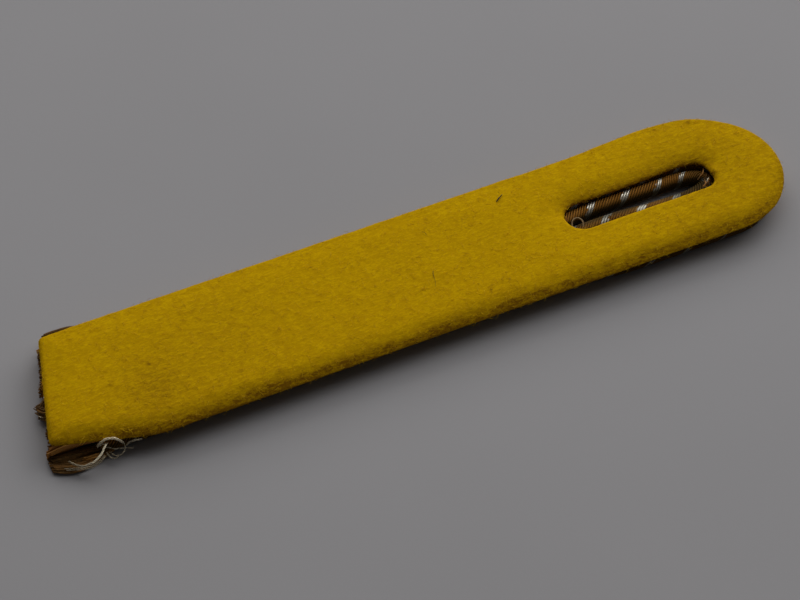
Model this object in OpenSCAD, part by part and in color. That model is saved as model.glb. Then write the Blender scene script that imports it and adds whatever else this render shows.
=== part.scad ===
// A narrow corded shoulder strap, lying on its cords with the cloth underlay up.
// Lengths are in millimetres. The head of the strap points along +X.

/* [Strap] */
// Length on the centre line, from the tip of the head to the cut end
strap_l = 120.3; // [110:0.1:140]
// Width of the cloth along the straight part
strap_w = 24; // [23.6:0.1:30]
// Slant of the cut end, in degrees from square
end_slant = 15; // [5:0.5:18]

/* [Cloth underlay] */
// Thickness of the wool cloth
cloth_t = 1.6; // [1.2:0.1:2.5]
// Rounding of the cloth's upper edges
edge_r = 0.75; // [0.4:0.05:0.8]
// Bevel of the cloth's lower edges
under_r = 0.3; // [0.1:0.05:0.35]
// Gap left between the cords and the cloth
seat_gap = 0.1; // [0.05:0.05:0.3]
// How far the far edge is drawn in behind the head
far_in = 0.35; // [0:0.05:0.8]
// How far the head bulges on its far side, behind its centre
head_bulge = 0.75; // [0:0.05:0.8]
// How far the head is flattened on its far shoulder
head_flat = 0.5; // [0:0.05:0.8]
// How far the head is drawn out at the near side of its tip
tip_reach = 0.2; // [0:0.05:0.5]
// How far the near edge is cut back where it meets the cut end
near_cut = 4.5; // [2:0.1:5]
// Length over which the near edge is cut back
near_cut_l = 16.2; // [12:0.1:20]
// How far the far edge is cut back where it meets the cut end
far_cut = 0.9; // [0.5:0.1:3]
// Length over which the far edge is cut back
far_cut_l = 8; // [6:0.5:20]
// Rounding of the near corner at the cut end
near_corner_r = 0.9; // [0.85:0.05:1.5]
// Rounding of the far corner at the cut end
far_corner_r = 1.3; // [0.85:0.05:2]

/* [Buttonhole] */
// Length of the slot in the cloth
slot_l = 25; // [20:0.1:28]
// Width of the slot in the cloth
slot_w = 5.5; // [5:0.1:6]
// Cloth left between the slot and the tip of the head
slot_to_tip = 11.1; // [10:0.1:13]
// Squareness of the slot's end near the tip, 1 for round
slot_square = 1.5; // [1:0.05:1.6]

/* [Cords] */
// Diameter of one wound cord
cord_d = 2.45; // [2.2:0.05:2.5]
// Distance between neighbouring cords, centre to centre
cord_pitch = 2.58; // [2.55:0.01:2.6]
// Gap between the two innermost cords along the strap
closed_gap = 0.1; // [0.1:0.1:0.4]
// Gap between the two innermost cords beside the slot
open_gap = 1.9; // [1.6:0.1:2]
// How far the innermost cord's near side is drawn in beside the slot
near_in = 0.45; // [0:0.05:0.6]
// How much further it is drawn in behind the slot's middle
near_sag = 0.65; // [0:0.05:0.8]
// Length over which the cords part before the slot
parting_l = 11; // [9:0.5:16]
// How far the innermost turn sits behind the centre of the head
turn_back = 1.9; // [1:0.1:3]
// How much further forward each next turn sits
turn_step = 0.6; // [0.2:0.1:0.7]
// How far the outermost cord spreads sideways at the cut end
splay = 0.5; // [0:0.1:1.2]
// Length over which the outermost cord spreads
splay_l = 11; // [8:1:20]
// Gap between the three lengths in which each cord is made
length_gap = 0.1; // [0.1:0.05:0.2]

/* [Hidden] */

cord_loops = 4;
cord_sides = 12;
half_w = strap_w / 2;
slant_run = tan(end_slant);

// Places are worked out from the centre of the head's round, then moved so that the box is centred.
end_x = half_w - strap_l;
function cut_x(y) = end_x + slant_run * y;

slot_r = slot_w / 2;
slot_front = half_w - slot_to_tip - slot_r;
slot_back = slot_front - slot_l + slot_w;
cloth_z = cord_d + seat_gap;

function ease(t) = let (c = min(max(t, 0), 1)) c * c * (3 - 2 * c);
function bell(t) = exp(-t * t);

// Cords. Each is a long U. It is made in three lengths, two straight ones and one round the head,
// so that each of them collides by itself and the buttonhole stays open.
parting_from = slot_back - 0.6 * parting_l;
function half_gap(x) = (closed_gap + (open_gap - closed_gap) * ease((x - parting_from) / parting_l)) / 2;
function drawn_in(loop, side) = loop == 1 && side < 0 ? near_in : 0;
function sagged(loop, side) = loop == 1 && side < 0 ? near_sag : 0;
sag_x = slot_back + 4.35;
sag_l = 5.5;
function turn_x(loop) = turn_step * (loop - 1) - turn_back;
function turn_r(loop) = open_gap / 2 + cord_pitch * (loop - 0.5);
function end_spread(loop) = loop < cord_loops ? 0 : splay;
function strand_start(loop, side) =
    cut_x(side * (closed_gap / 2 + cord_pitch * (loop - 0.5) + end_spread(loop)));
function strand_y(loop, side, x) = let (
    spread_part = max(strand_start(loop, side) + splay_l - x, 0) / splay_l)
    side * (half_gap(x) + cord_pitch * (loop - 0.5) + end_spread(loop) * pow(spread_part, 2))
    + drawn_in(loop, side) * ease((x - parting_from) / 8) + sagged(loop, side) * bell((x - sag_x) / sag_l);

splay_steps = 6;
parting_steps = 8;
sag_steps = 6;
turn_steps = 20;
function along_side(loop, side, stations) = [for (x = stations) [x, strand_y(loop, side, x)]];
function straight_path(loop, side) = along_side(loop, side, concat(
    [for (i = [0 : loop < cord_loops ? 0 : splay_steps])
        strand_start(loop, side) + splay_l * i / splay_steps],
    [parting_from - length_gap / 2]));
function parting(loop, side) = along_side(loop, side, concat([parting_from + length_gap / 2],
    [for (i = [1 : parting_steps]) parting_from + parting_l * i / parting_steps],
    [for (i = [1 : 1 : sagged(loop, side) > 0 ? sag_steps : 0]) parting_from + parting_l + 2 * i]));
function turn(loop) = [for (i = [0 : turn_steps]) let (a = -90 + 180 * i / turn_steps)
    [turn_x(loop) + turn_r(loop) * cos(a), turn_r(loop) * sin(a) + drawn_in(loop, -1) * (1 - sin(a)) / 2]];
function backwards(list) = [for (i = [len(list) - 1 : -1 : 0]) list[i]];
function head_path(loop) = concat(parting(loop, -1), turn(loop), backwards(parting(loop, 1)));

function heading(path, i) = let (
    step = path[min(i + 1, len(path) - 1)] - path[max(i - 1, 0)])
    step / norm(step);

// The first ring of a straight length lies in the slanted plane of the cut.
function cord_ring(path, i, slant = 0) = let (
    along = heading(path, i),
    across = [along[1], -along[0]])
    [for (k = [0 : cord_sides - 1]) let (
        a = 360 * k / cord_sides,
        out = across * cos(a) * cord_d / 2)
        [path[i][0] + out[0] + slant * out[1], path[i][1] + out[1], cord_d / 2 * (1 + sin(a))]];

// Closed skin over rings of equal size; it is a loop of rings, or has an end cap at each end.
function skin_faces(rings, points, looped) = concat(
    [for (i = [0 : rings - (looped ? 1 : 2)], k = [0 : points - 1], half = [0, 1]) let (
        a = i * points + k,
        b = i * points + (k + 1) % points,
        c = ((i + 1) % rings) * points + (k + 1) % points,
        d = ((i + 1) % rings) * points + k)
        half == 0 ? [a, b, c] : [a, c, d]],
    looped ? [] : [[for (k = [points - 1 : -1 : 0]) k],
        [for (k = [0 : points - 1]) (rings - 1) * points + k]]);

module cord_length(path, first_slant = 0) {
    rings = [for (i = [0 : len(path) - 1]) cord_ring(path, i, i == 0 ? first_slant : 0)];
    polyhedron([for (ring = rings, p = ring) p], skin_faces(len(rings), cord_sides, false));
}
module cord(loop) {
    for (side = [-1, 1]) cord_length(straight_path(loop, side), slant_run);
    cord_length(head_path(loop));
}

// Cloth. The outline is a round head and four straight edges with rounded corners.
bulge_x = -0.4 * half_w;
bulge_l = 0.75 * half_w;
flat_angle = 62;
flat_spread = 34;
reach_angle = -30;
reach_spread = 30;
far_half_w = half_w - far_in;
function bulge(x) = head_bulge * bell((x - bulge_x) / bulge_l);
function head_r(a) = half_w - far_in * ease(a / 60) + bulge(half_w * cos(a)) * ease(a / 90)
    - head_flat * bell((a - flat_angle) / flat_spread)
    + tip_reach * bell((a - reach_angle) / reach_spread);
head_steps = 26;
head = [for (i = [0 : head_steps]) let (a = -90 + 180 * i / head_steps) head_r(a) * [cos(a), sin(a)]];

// Behind the head the far side starts where the head ends and settles to its straight edge.
far_steps = 10;
far_from = bulge_x - 2.1 * bulge_l;
far_start = head_r(90) - far_half_w - bulge(0);
far_side = [for (i = [1 : far_steps]) let (x = far_from * i / far_steps)
    [x, far_half_w + bulge(x) + far_start * bell(x / (0.35 * bulge_l))]];

// Corner between two edges as an arc: the corner, the points before and after it, and the radius.
function corner(before, at, after, r, steps) = let (
    u = (before - at) / norm(before - at),
    v = (after - at) / norm(after - at),
    half = acos(u * v) / 2,
    mid = (u + v) / norm(u + v),
    centre = at + mid * r / sin(half),
    from = at + u * r / tan(half) - centre,
    sweep = 180 - 2 * half)
    [for (i = [0 : steps]) let (a = sweep * i / steps)
        centre + [from[0] * cos(a) - from[1] * sin(a), from[0] * sin(a) + from[1] * cos(a)]];

bend_r = 14;
near_y = near_cut - half_w;
far_edge_y = far_half_w - far_cut;
near_corner = [cut_x(near_y), near_y];
far_corner = [cut_x(far_edge_y), far_edge_y];
near_bend = [cut_x(-half_w) + near_cut_l, -half_w];
far_bend = [cut_x(far_half_w) + far_cut_l, far_half_w];
cut_edge = concat(
    corner([0, far_half_w], far_bend, far_corner, bend_r, 3),
    corner(far_bend, far_corner, near_corner, far_corner_r, 6),
    corner(far_corner, near_corner, near_bend, near_corner_r, 6),
    corner(near_corner, near_bend, [0, -half_w], bend_r, 4));
near_steps = 3;
near_side_x = [for (i = [1 : near_steps])
    slot_back + (slot_front - slot_back) * i / (near_steps + 1)];
near_side = [for (x = near_side_x) [x, -half_w]];
outline = concat(head, far_side, cut_edge, near_side);

// Each point of the outline is paired with a point on the rim of the slot.
function rim(a, x) = [x, 0] + slot_r * [cos(a), sin(a)];
function squared(v) = sign(v) * pow(abs(v), 1 / slot_square);
function front_rim(a) = [slot_front, 0] + slot_r * [squared(cos(a)), squared(sin(a))];
back_points = len(cut_edge);
slot_rim = concat(
    [for (i = [0 : head_steps]) front_rim(-90 + 180 * i / head_steps)],
    [for (i = [1 : far_steps]) rim(90, slot_front + (slot_back - slot_front) * i / (far_steps + 1))],
    [for (i = [0 : back_points - 1]) rim(90 + 180 * i / (back_points - 1), slot_back)],
    [for (x = near_side_x) rim(-90, x)]);

// Edge of the cloth as steps inwards and upwards, from its underside to its upper side.
edge_steps = 4;
edge = concat([[under_r, 0], [0, under_r]],
    [for (i = [0 : edge_steps]) let (a = 90 * i / edge_steps)
        [edge_r * (1 - cos(a)), cloth_t - edge_r + edge_r * sin(a)]]);

function outward(list, i) = let (
    n = len(list),
    step = list[(i + 1) % n] - list[(i + n - 1) % n])
    [step[1], -step[0]] / norm(step);
function at_edge(p, away, e) = [p[0] - away[0] * e[0], p[1] - away[1] * e[0], cloth_z + e[1]];
function cloth_ring(i) = concat(
    [for (e = edge) at_edge(outline[i], outward(outline, i), e)],
    [for (e = backwards(edge)) at_edge(slot_rim[i], -outward(slot_rim, i), e)]);

module cloth() {
    rings = [for (i = [0 : len(outline) - 1]) cloth_ring(i)];
    polyhedron([for (ring = rings, p = ring) p], skin_faces(len(rings), 2 * len(edge), true));
}

// The outline and the outermost cord's cut ends reach the furthest each way.
reach = concat(outline, cord_ring(straight_path(cord_loops, -1), 0, slant_run),
    cord_ring(straight_path(cord_loops, 1), 0, slant_run));
function middle(axis) = let (v = [for (p = reach) p[axis]]) (min(v) + max(v)) / 2;
module placed() {
    translate([-middle(0), -middle(1), 0]) children();
}

module cloth_underlay() {
    color([0.80, 0.62, 0.03]) placed() cloth();
}
module cord_loop(loop) {
    color([0.40, 0.24, 0.12]) placed() cord(loop);
}

cloth_underlay();
cord_loop(1);  // cord_loop_1
cord_loop(2);  // cord_loop_2
cord_loop(3);  // cord_loop_3
cord_loop(4);  // cord_loop_4
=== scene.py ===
import math
import random
import bmesh
import bpy
import numpy as np
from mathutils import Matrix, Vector, geometry, noise


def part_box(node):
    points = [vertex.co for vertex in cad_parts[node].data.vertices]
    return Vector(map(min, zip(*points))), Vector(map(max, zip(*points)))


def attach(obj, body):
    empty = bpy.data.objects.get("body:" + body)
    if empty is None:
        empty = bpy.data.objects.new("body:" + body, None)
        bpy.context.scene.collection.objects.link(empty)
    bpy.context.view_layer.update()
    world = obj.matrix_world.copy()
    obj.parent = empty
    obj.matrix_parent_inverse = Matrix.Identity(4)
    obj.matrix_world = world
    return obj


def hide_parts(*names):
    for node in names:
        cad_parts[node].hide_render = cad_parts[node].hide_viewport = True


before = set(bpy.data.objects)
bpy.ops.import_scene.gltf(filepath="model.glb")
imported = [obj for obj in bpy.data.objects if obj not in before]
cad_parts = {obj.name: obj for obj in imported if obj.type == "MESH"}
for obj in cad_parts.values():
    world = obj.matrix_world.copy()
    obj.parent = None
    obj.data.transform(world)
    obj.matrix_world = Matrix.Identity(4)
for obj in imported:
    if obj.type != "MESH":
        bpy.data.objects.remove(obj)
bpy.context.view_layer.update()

mm = 0.001
scene = bpy.context.scene
print("frame loaded:", ", ".join(sorted(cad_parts)))

# The camera, at the photo's angle to the strap.
cameraSizes = {
    "place": (-0.112417, -0.241081, 0.310988), "tilt": 40.2817, "turn": -24.5378,
    "lens": 122.0, "sensor": 36.0,
}


def newObject(name, data):
    made = bpy.data.objects.new(name, data)
    bpy.context.collection.objects.link(made)
    return made


def makeCamera(s):
    data = bpy.data.cameras.new("camera")
    data.lens = s["lens"]
    data.sensor_width = s["sensor"]
    data.clip_start = 0.01
    camera = newObject("camera", data)
    camera.location = s["place"]
    camera.rotation_euler = (math.radians(s["tilt"]), 0, math.radians(s["turn"]))
    scene.camera = camera


makeCamera(cameraSizes)
print("camera placed")


# A socket that can stand in a sum, so that node maths reads as maths.
class Wire:
    def __init__(self, graph, socket):
        self.graph, self.socket = graph, socket

    def to(self, operation, *others):
        return self.graph.maths(operation, self, *others)

    def __add__(self, other):
        return self.to("ADD", other)

    def __sub__(self, other):
        return self.to("SUBTRACT", other)

    def __mul__(self, other):
        return self.to("MULTIPLY", other)

    def __truediv__(self, other):
        return self.to("DIVIDE", other)

    def __rsub__(self, other):
        return self.graph.maths("SUBTRACT", other, self)

    def __rtruediv__(self, other):
        return self.graph.maths("DIVIDE", other, self)

    __radd__ = __add__
    __rmul__ = __mul__

    # 0 below low, 1 above high, smooth between them
    def step(self, low, high):
        return self.graph.node("ShaderNodeMapRange", {"interpolation_type": "SMOOTHSTEP"},
                               {"Value": self, "From Min": low, "From Max": high})

    def output(self, name):
        return Wire(self.graph, self.socket.node.outputs[name])


class Graph:
    def __init__(self, tree):
        self.tree = tree

    # Makes any node: first its settings, then the values or links of its sockets.
    def node(self, kind, settings=None, inputs=None, output=0):
        made = self.tree.nodes.new(kind)
        for name, value in (settings or {}).items():
            setattr(made, name, value)
        for name, value in (inputs or {}).items():
            socket = self.find(made.inputs, name)
            if isinstance(value, Wire):
                self.tree.links.new(value.socket, socket)
            else:
                socket.default_value = value
        if not len(made.outputs):
            return made
        return Wire(self, self.find(made.outputs, output))

    def find(self, sockets, name):
        if isinstance(name, int):
            return [s for s in sockets if s.enabled][name]
        return next(s for s in sockets if s.enabled and s.name == name)

    def maths(self, operation, *values):
        return self.node("ShaderNodeMath", {"operation": operation}, dict(enumerate(values)))

    def mix(self, amount, first, second):
        return self.node("ShaderNodeMix", {"data_type": "RGBA"},
                         {"Factor": amount, "A": first, "B": second}, "Result")


def colour(red, green, blue):
    return (red, green, blue, 1.0)


# The strap in millimetres, from the centre of its round head. The source has the same.
strap = {
    "halfW": 12.0, "length": 120.3, "slant": math.tan(math.radians(15)),
    "clothT": 1.6, "cordD": 2.45, "seatGap": 0.1, "cordPitch": 2.58, "loops": 4,
    # the gap between the two sides of the innermost cord, and where it opens
    "closedGap": 0.1, "openGap": 1.9, "partingL": 11.0,
    # the turns round the head, and how the outermost cord splays at the cut
    "turnBack": 1.9, "turnStep": 0.6, "splay": 0.5, "splayL": 11.0,
    # the innermost cord's near side, which lies uneven
    "nearIn": 0.45, "nearInL": 8.0, "nearSag": 0.65, "sagX": -17.0, "sagL": 5.5,
    "slotR": 2.75, "slotFront": -1.85, "slotBack": -21.35, "slotSquare": 1.5,
}
endX = strap["halfW"] - strap["length"]
clothZ = strap["cordD"] + strap["seatGap"]
partingX = strap["slotBack"] - 0.6 * strap["partingL"]


def ease(t):
    c = min(max(t, 0.0), 1.0)
    return c * c * (3 - 2 * c)


def bell(t):
    return math.exp(-t * t)


def cutX(y):
    return endX + strap["slant"] * y


# The strands part beneath the slot, and the outermost ones splay at the cut.
def halfGap(x):
    opening = ease((x - partingX) / strap["partingL"])
    return (strap["closedGap"] + (strap["openGap"] - strap["closedGap"]) * opening) / 2


def splayOf(loop):
    return strap["splay"] if loop == strap["loops"] else 0.0


def offAxis(loop):
    return strap["cordPitch"] * (loop - 0.5)


def strandStart(loop, side):
    return cutX(side * (strap["closedGap"] / 2 + offAxis(loop) + splayOf(loop)))


def strandY(loop, side, x):
    nearEnd = max(strandStart(loop, side) + strap["splayL"] - x, 0) / strap["splayL"]
    y = side * (halfGap(x) + offAxis(loop) + splayOf(loop) * nearEnd ** 2)
    if loop == 1 and side < 0:
        y += strap["nearIn"] * ease((x - partingX) / strap["nearInL"])
        y += strap["nearSag"] * bell((x - strap["sagX"]) / strap["sagL"])
    return y


# The cloth's outline: a round head, and straight edges that meet in rounded corners.
outlineSizes = {
    "farIn": 0.35, "headBulge": 0.75,
    "headFlat": 0.28, "flatAngle": 62.0, "flatSpan": 34.0,
    "tipReach": 0.2, "tipAngle": -30.0, "tipSpan": 30.0,
    "nearCut": 4.5, "nearCutL": 16.2, "farCut": 0.1, "farCutL": 8.0,
    "nearCornerR": 0.9, "farCornerR": 0.9, "bendR": 14.0,
    "slotBulge": 0.35, "slotBulgeX": -4.5, "slotBulgeL": 3.5,
}
bulgeX = -0.4 * strap["halfW"]
bulgeL = 0.75 * strap["halfW"]


def headBulgeAt(x):
    return outlineSizes["headBulge"] * bell((x - bulgeX) / bulgeL)


def headR(angle):
    s = outlineSizes
    across = strap["halfW"] * math.cos(math.radians(angle))
    return (strap["halfW"] - s["farIn"] * ease(angle / 60) + headBulgeAt(across) * ease(angle / 90)
            - s["headFlat"] * bell((angle - s["flatAngle"]) / s["flatSpan"])
            + s["tipReach"] * bell((angle - s["tipAngle"]) / s["tipSpan"]))


def cornerArc(before, at, after, radius, steps):
    u = (Vector(before) - Vector(at)).normalized()
    v = (Vector(after) - Vector(at)).normalized()
    half = u.angle(v) / 2
    centre = Vector(at) + (u + v).normalized() * (radius / math.sin(half))
    spoke = Vector(at) + u * (radius / math.tan(half)) - centre
    points = []
    for i in range(steps + 1):
        a = (math.pi - 2 * half) * i / steps
        points.append((centre.x + spoke.x * math.cos(a) - spoke.y * math.sin(a),
                       centre.y + spoke.x * math.sin(a) + spoke.y * math.cos(a)))
    return points


def clothOutline():
    s = outlineSizes
    halfW = strap["halfW"]
    farHalfW = halfW - s["farIn"]
    farFrom = bulgeX - 2.1 * bulgeL
    farStart = headR(90) - farHalfW - headBulgeAt(0)
    nearY = s["nearCut"] - halfW
    farEdgeY = farHalfW - s["farCut"]
    nearCorner = (cutX(nearY), nearY)
    farCorner = (cutX(farEdgeY), farEdgeY)
    nearBend = (cutX(-halfW) + s["nearCutL"], -halfW)
    farBend = (cutX(farHalfW) + s["farCutL"], farHalfW)
    points = []
    for i in range(121):
        a = -90 + 1.5 * i
        turn = math.radians(a)
        points.append((headR(a) * math.cos(turn), headR(a) * math.sin(turn)))
    for i in range(1, 51):
        x = farFrom * i / 50
        points.append((x, farHalfW + headBulgeAt(x) + farStart * bell(x / (0.35 * bulgeL))))
    points += cornerArc((0, farHalfW), farBend, farCorner, s["bendR"], 6)
    points += cornerArc(farBend, farCorner, nearCorner, s["farCornerR"], 8)
    points += cornerArc(farCorner, nearCorner, nearBend, s["nearCornerR"], 8)
    points += cornerArc(nearCorner, nearBend, (0, -halfW), s["bendR"], 8)
    return points


# The slot: squarish at its front, round at its back, and bulged on its far side.
def slotOutline():
    s = outlineSizes
    r, front, back = strap["slotR"], strap["slotFront"], strap["slotBack"]

    def squared(v):
        return math.copysign(abs(v) ** (1 / strap["slotSquare"]), v)

    points = []
    for i in range(41):
        a = math.radians(-90 + 4.5 * i)
        points.append((front + r * squared(math.cos(a)), r * squared(math.sin(a))))
    for i in range(41):
        a = math.radians(90 + 4.5 * i)
        points.append((back + r * math.cos(a), r * math.sin(a)))
    return [(x, y + s["slotBulge"] * bell((x - s["slotBulgeX"]) / s["slotBulgeL"])
             * ease((y - 1.5) / 1.2)) for x, y in evenly(points, 0.3)]


# Even steps round a closed line of points, as an array of x and y.
def evenly(points, spacing):
    p = np.array(points, dtype=float)
    p = np.vstack([p, p[:1]])
    run = np.concatenate([[0], np.cumsum(np.linalg.norm(np.diff(p, axis=0), axis=1))])
    at = np.linspace(0, run[-1], round(run[-1] / spacing) + 1)[:-1]
    return np.stack([np.interp(at, run, p[:, k]) for k in range(2)], axis=1)


# The strap's place in the frame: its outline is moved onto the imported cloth's box.
outlinePoints = np.array(clothOutline())
clothLow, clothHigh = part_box("cloth_underlay")
shift = (np.array(clothLow[:2]) + np.array(clothHigh[:2])) / 2 / mm - (
    outlinePoints.min(axis=0) + outlinePoints.max(axis=0)) / 2
print("strap placed: head centre at %.3f, %.3f mm" % tuple(shift))


def meshPiece(name, vertices, faces, material):
    mesh = bpy.data.meshes.new(name)
    mesh.from_pydata([tuple(float(c) * mm for c in v) for v in vertices], [], faces)
    mesh.validate()
    mesh.polygons.foreach_set("use_smooth", [True] * len(mesh.polygons))
    mesh.materials.append(material)
    return newObject(name, mesh)


def giveAttribute(mesh, name, values):
    layer = mesh.attributes.new(name, "FLOAT", "POINT")
    layer.data.foreach_set("value", np.asarray(values, dtype=np.float32))


def newMaterial(name):
    material = bpy.data.materials.new(name)
    material.use_nodes = True
    material.node_tree.nodes.clear()
    return material, Graph(material.node_tree)


def finishMaterial(g, inputs):
    shader = g.node("ShaderNodeBsdfPrincipled", {}, inputs)
    g.node("ShaderNodeOutputMaterial", {}, {"Surface": shader})


# Object coordinates in millimetres, turned and stretched for a pattern.
def place(g, turn=0.0, stretch=(1.0, 1.0, 1.0)):
    at = g.node("ShaderNodeTexCoord", output="Object")
    return g.node("ShaderNodeMapping", {}, {
        "Vector": at,
        "Rotation": (0.0, 0.0, math.radians(turn)),
        "Scale": tuple(s / mm for s in stretch)})


def grain(g, at, size, detail=2.0, roughness=0.5, distortion=0.0):
    return g.node("ShaderNodeTexNoise", {}, {
        "Vector": at, "Scale": 1.0 / size, "Detail": detail, "Roughness": roughness,
        "Distortion": distortion})


def attribute(g, name):
    return g.node("ShaderNodeAttribute", {"attribute_name": name}, output="Fac")


def bumped(g, strength, distance, height):
    return g.node("ShaderNodeBump", {}, {
        "Strength": strength, "Distance": distance * mm, "Height": height}, "Normal")


# Fulled wool: a golden yellow with a short matted nap, soiled along the near edge; its side faces
# and lips carry painted shade too.
woolSizes = {
    "yellow": (0.815, 0.49, 0.001), "pale": (0.92, 0.59, 0.0016), "ochre": (0.67, 0.378, 0.0008),
    "soilAndPaintedShade": (0.275, 0.126, 0.004),
    "napSize": 0.42, "lumpSize": 1.15, "bump": 0.045,
}


def woolMaterial(s):
    material, g = newMaterial("woolCloth")
    flat = place(g)
    combed = place(g, turn=5.0, stretch=(0.34, 1.05, 1.0))
    nap = grain(g, combed, s["napSize"], 3.0, 0.62, 0.5)
    fine = grain(g, place(g, turn=-32.0, stretch=(0.5, 1.2, 1.0)), 0.2, 2.0, 0.6, 0.4)
    lump = grain(g, flat, s["lumpSize"], 2.0, 0.55)
    cloud = grain(g, flat, 9.0, 2.0, 0.5)
    soilAndPaintedShade = attribute(g, "soilAndPaintedShade")
    pill = grain(g, place(g, turn=20.0, stretch=(0.75, 1.0, 1.0)), 0.25, 2.0, 0.7, 0.3)
    light = (nap * 0.38 + fine * 0.44 + lump * 0.18).step(0.43, 0.61)
    tone = g.mix(light, colour(*s["ochre"]), colour(*s["yellow"]))
    tone = g.mix((nap * 0.6 + fine * 0.4).step(0.56, 0.72) * 0.55, tone, colour(*s["pale"]))
    tone = g.mix(cloud.step(0.52, 0.72) * 0.16, tone, colour(*s["ochre"]))
    speck = grain(g, combed, 0.55, 2.0, 0.7).step(0.66, 0.74) * 0.28
    # this darkening is soil, and painted shade on the side faces and lips
    dirtAndPaintedShade = soilAndPaintedShade * (0.55 + lump * 0.35 + pill.step(0.42, 0.64) * 0.55)
    dirtAndPaintedShade = (dirtAndPaintedShade * (1.3 - nap.step(0.4, 0.6) * 0.6)).to("MINIMUM", 1.0)
    tone = g.mix((dirtAndPaintedShade + speck * (0.25 + soilAndPaintedShade)).to("MINIMUM", 1.0), tone, colour(*s["soilAndPaintedShade"]))
    height = nap * 0.5 + fine * 0.40 + lump * 0.4 + pill * soilAndPaintedShade.to("MINIMUM", 0.5) * 1.2
    finishMaterial(g, {
        "Base Color": tone, "Roughness": 0.95, "Specular IOR Level": 0.03,
        "Normal": bumped(g, 1.0, s["bump"], height), "Sheen Weight": 0.12,
        "Sheen Roughness": 0.5, "Sheen Tint": colour(0.95, 0.65, 0.01)})
    return material


# Wound cord: brown silk and tarnished silver thread, with fine strands along each thread.
threadSizes = {
    "brown": (0.46, 0.2, 0.03), "brownDark": (0.08, 0.032, 0.0055),
    "brownLight": (0.68, 0.335, 0.072),
    # the last colour is painted shade, for the cords' shaded flanks
    "silver": (0.99, 0.945, 0.81), "silverDullAndGrooveShade": (0.4, 0.35, 0.27), "dirtAndPaintedShade": (0.028, 0.024, 0.006),
}


def cordMaterial(s):
    material, g = newMaterial("woundCord")
    worn = grain(g, place(g), 1.1, 1.0) - 0.5
    silver = (attribute(g, "silver") + worn * 1.6).step(0.42, 0.60)
    along = attribute(g, "alongCord") / mm
    across = attribute(g, "across")
    lobe = attribute(g, "lobe")
    strandAt = g.node("ShaderNodeCombineXYZ", {}, {
        "X": along * 0.9, "Y": across * 9.0, "Z": lobe * 3.7})
    strand = grain(g, strandAt, 1.0, 2.0, 0.6)
    blotch = grain(g, place(g), 1.4, 2.0, 0.5)
    # painted shade: the grooves between the threads' ridges are darker, in the brown and in the
    # silver
    crown = (1.0 - across * across * 4.0).step(0.25, 0.95)
    brown = g.mix(((strand - 0.5) * 0.8 + crown).step(0.05, 0.95), colour(*s["brownDark"]),
                  colour(*s["brown"]))
    brown = g.mix(strand.step(0.5, 0.75) * 0.5 + blotch.step(0.5, 0.7) * 0.25, brown,
                  colour(*s["brownLight"]))
    # the dull silver is partly random tarnish, partly painted shade in the grooves
    metal = g.mix(((strand - 0.5) * 0.7 + crown * 0.9).step(0.1, 0.7), colour(*s["silverDullAndGrooveShade"]),
                  colour(*s["silver"]))
    height = strand * 0.6 + grain(g, place(g), 0.12, 1.0) * 0.4
    # painted shade: the cords are darkened where the cloth and the slot shade them
    soilAndPaintedShade = attribute(g, "soilAndPaintedShade")
    tone = g.mix(soilAndPaintedShade * 0.92, g.mix(silver, brown, metal), colour(*s["dirtAndPaintedShade"]))
    finishMaterial(g, {
        "Base Color": tone, "Metallic": silver * (1.0 - soilAndPaintedShade) * 0.75,
        "Roughness": 0.68 - silver * 0.34, "Specular IOR Level": 0.08,
        "Normal": bumped(g, 0.8, 0.03, height)})
    return material


# A loose strand's finish: streaked between a dark and a light colour, by its own tint.
def strandMaterial(name, dark, light, metallic, roughness, sheen=0.0):
    material, g = newMaterial(name)
    streak = grain(g, place(g), 0.35, 3.0, 0.6)
    tint = attribute(g, "tint")
    tone = g.mix((streak * 0.6 + tint * 0.5).step(0.25, 0.85), colour(*dark), colour(*light))
    finishMaterial(g, {
        "Base Color": tone, "Metallic": metallic, "Roughness": roughness, "Sheen Weight": sheen,
        "Normal": bumped(g, 0.6, 0.02, grain(g, place(g), 0.1, 2.0))})
    return material


woolCloth = woolMaterial(woolSizes)
woundCord = cordMaterial(threadSizes)
brownStrand = strandMaterial("brownStrand", (0.112, 0.055, 0.008), (0.52, 0.23, 0.042), 0.0, 0.85)
silverStrand = strandMaterial("silverStrand", (0.34, 0.27, 0.16), (0.9, 0.8, 0.58), 0.4, 0.42, 0.1)
paleStrand = strandMaterial("paleStrand", (0.26, 0.16, 0.065), (0.52, 0.36, 0.17), 0.0, 0.8, 0.1)
darkHair = strandMaterial("darkHair", (0.028, 0.014, 0.003), (0.09, 0.05, 0.01), 0.0, 0.8)
woolFibre = strandMaterial("woolFibre", (0.62, 0.37, 0.001), (0.96, 0.65, 0.004), 0.0, 0.9)
print("materials made")


# The cloth underlay, as one closed skin: rounded edges, fine faces above, coarse ones below.
clothSizes = {
    "edgeR": 0.75, "underR": 0.72, "edgeSteps": 7,
    "rimSpacing": 0.36, "topSpacing": 0.42, "underSpacing": 1.3,
    # how the top falls: to its edge, more on the near side, less at the slot, and at its far lip
    "crownDrop": 0.3, "crownReach": 2.6,
    "nearDrop": 0.7, "nearReach": 3.1, "nearRound": 0.9,
    "slotDrop": 0.8, "farLipDrop": 0.42, "farLipReach": 1.5,
    # how uneven its edge and its top are, coarse and fine
    "edgeWander": 0.09, "edgeFuzz": 0.05, "swell": 0.07, "lump": 0.035,
}
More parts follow.
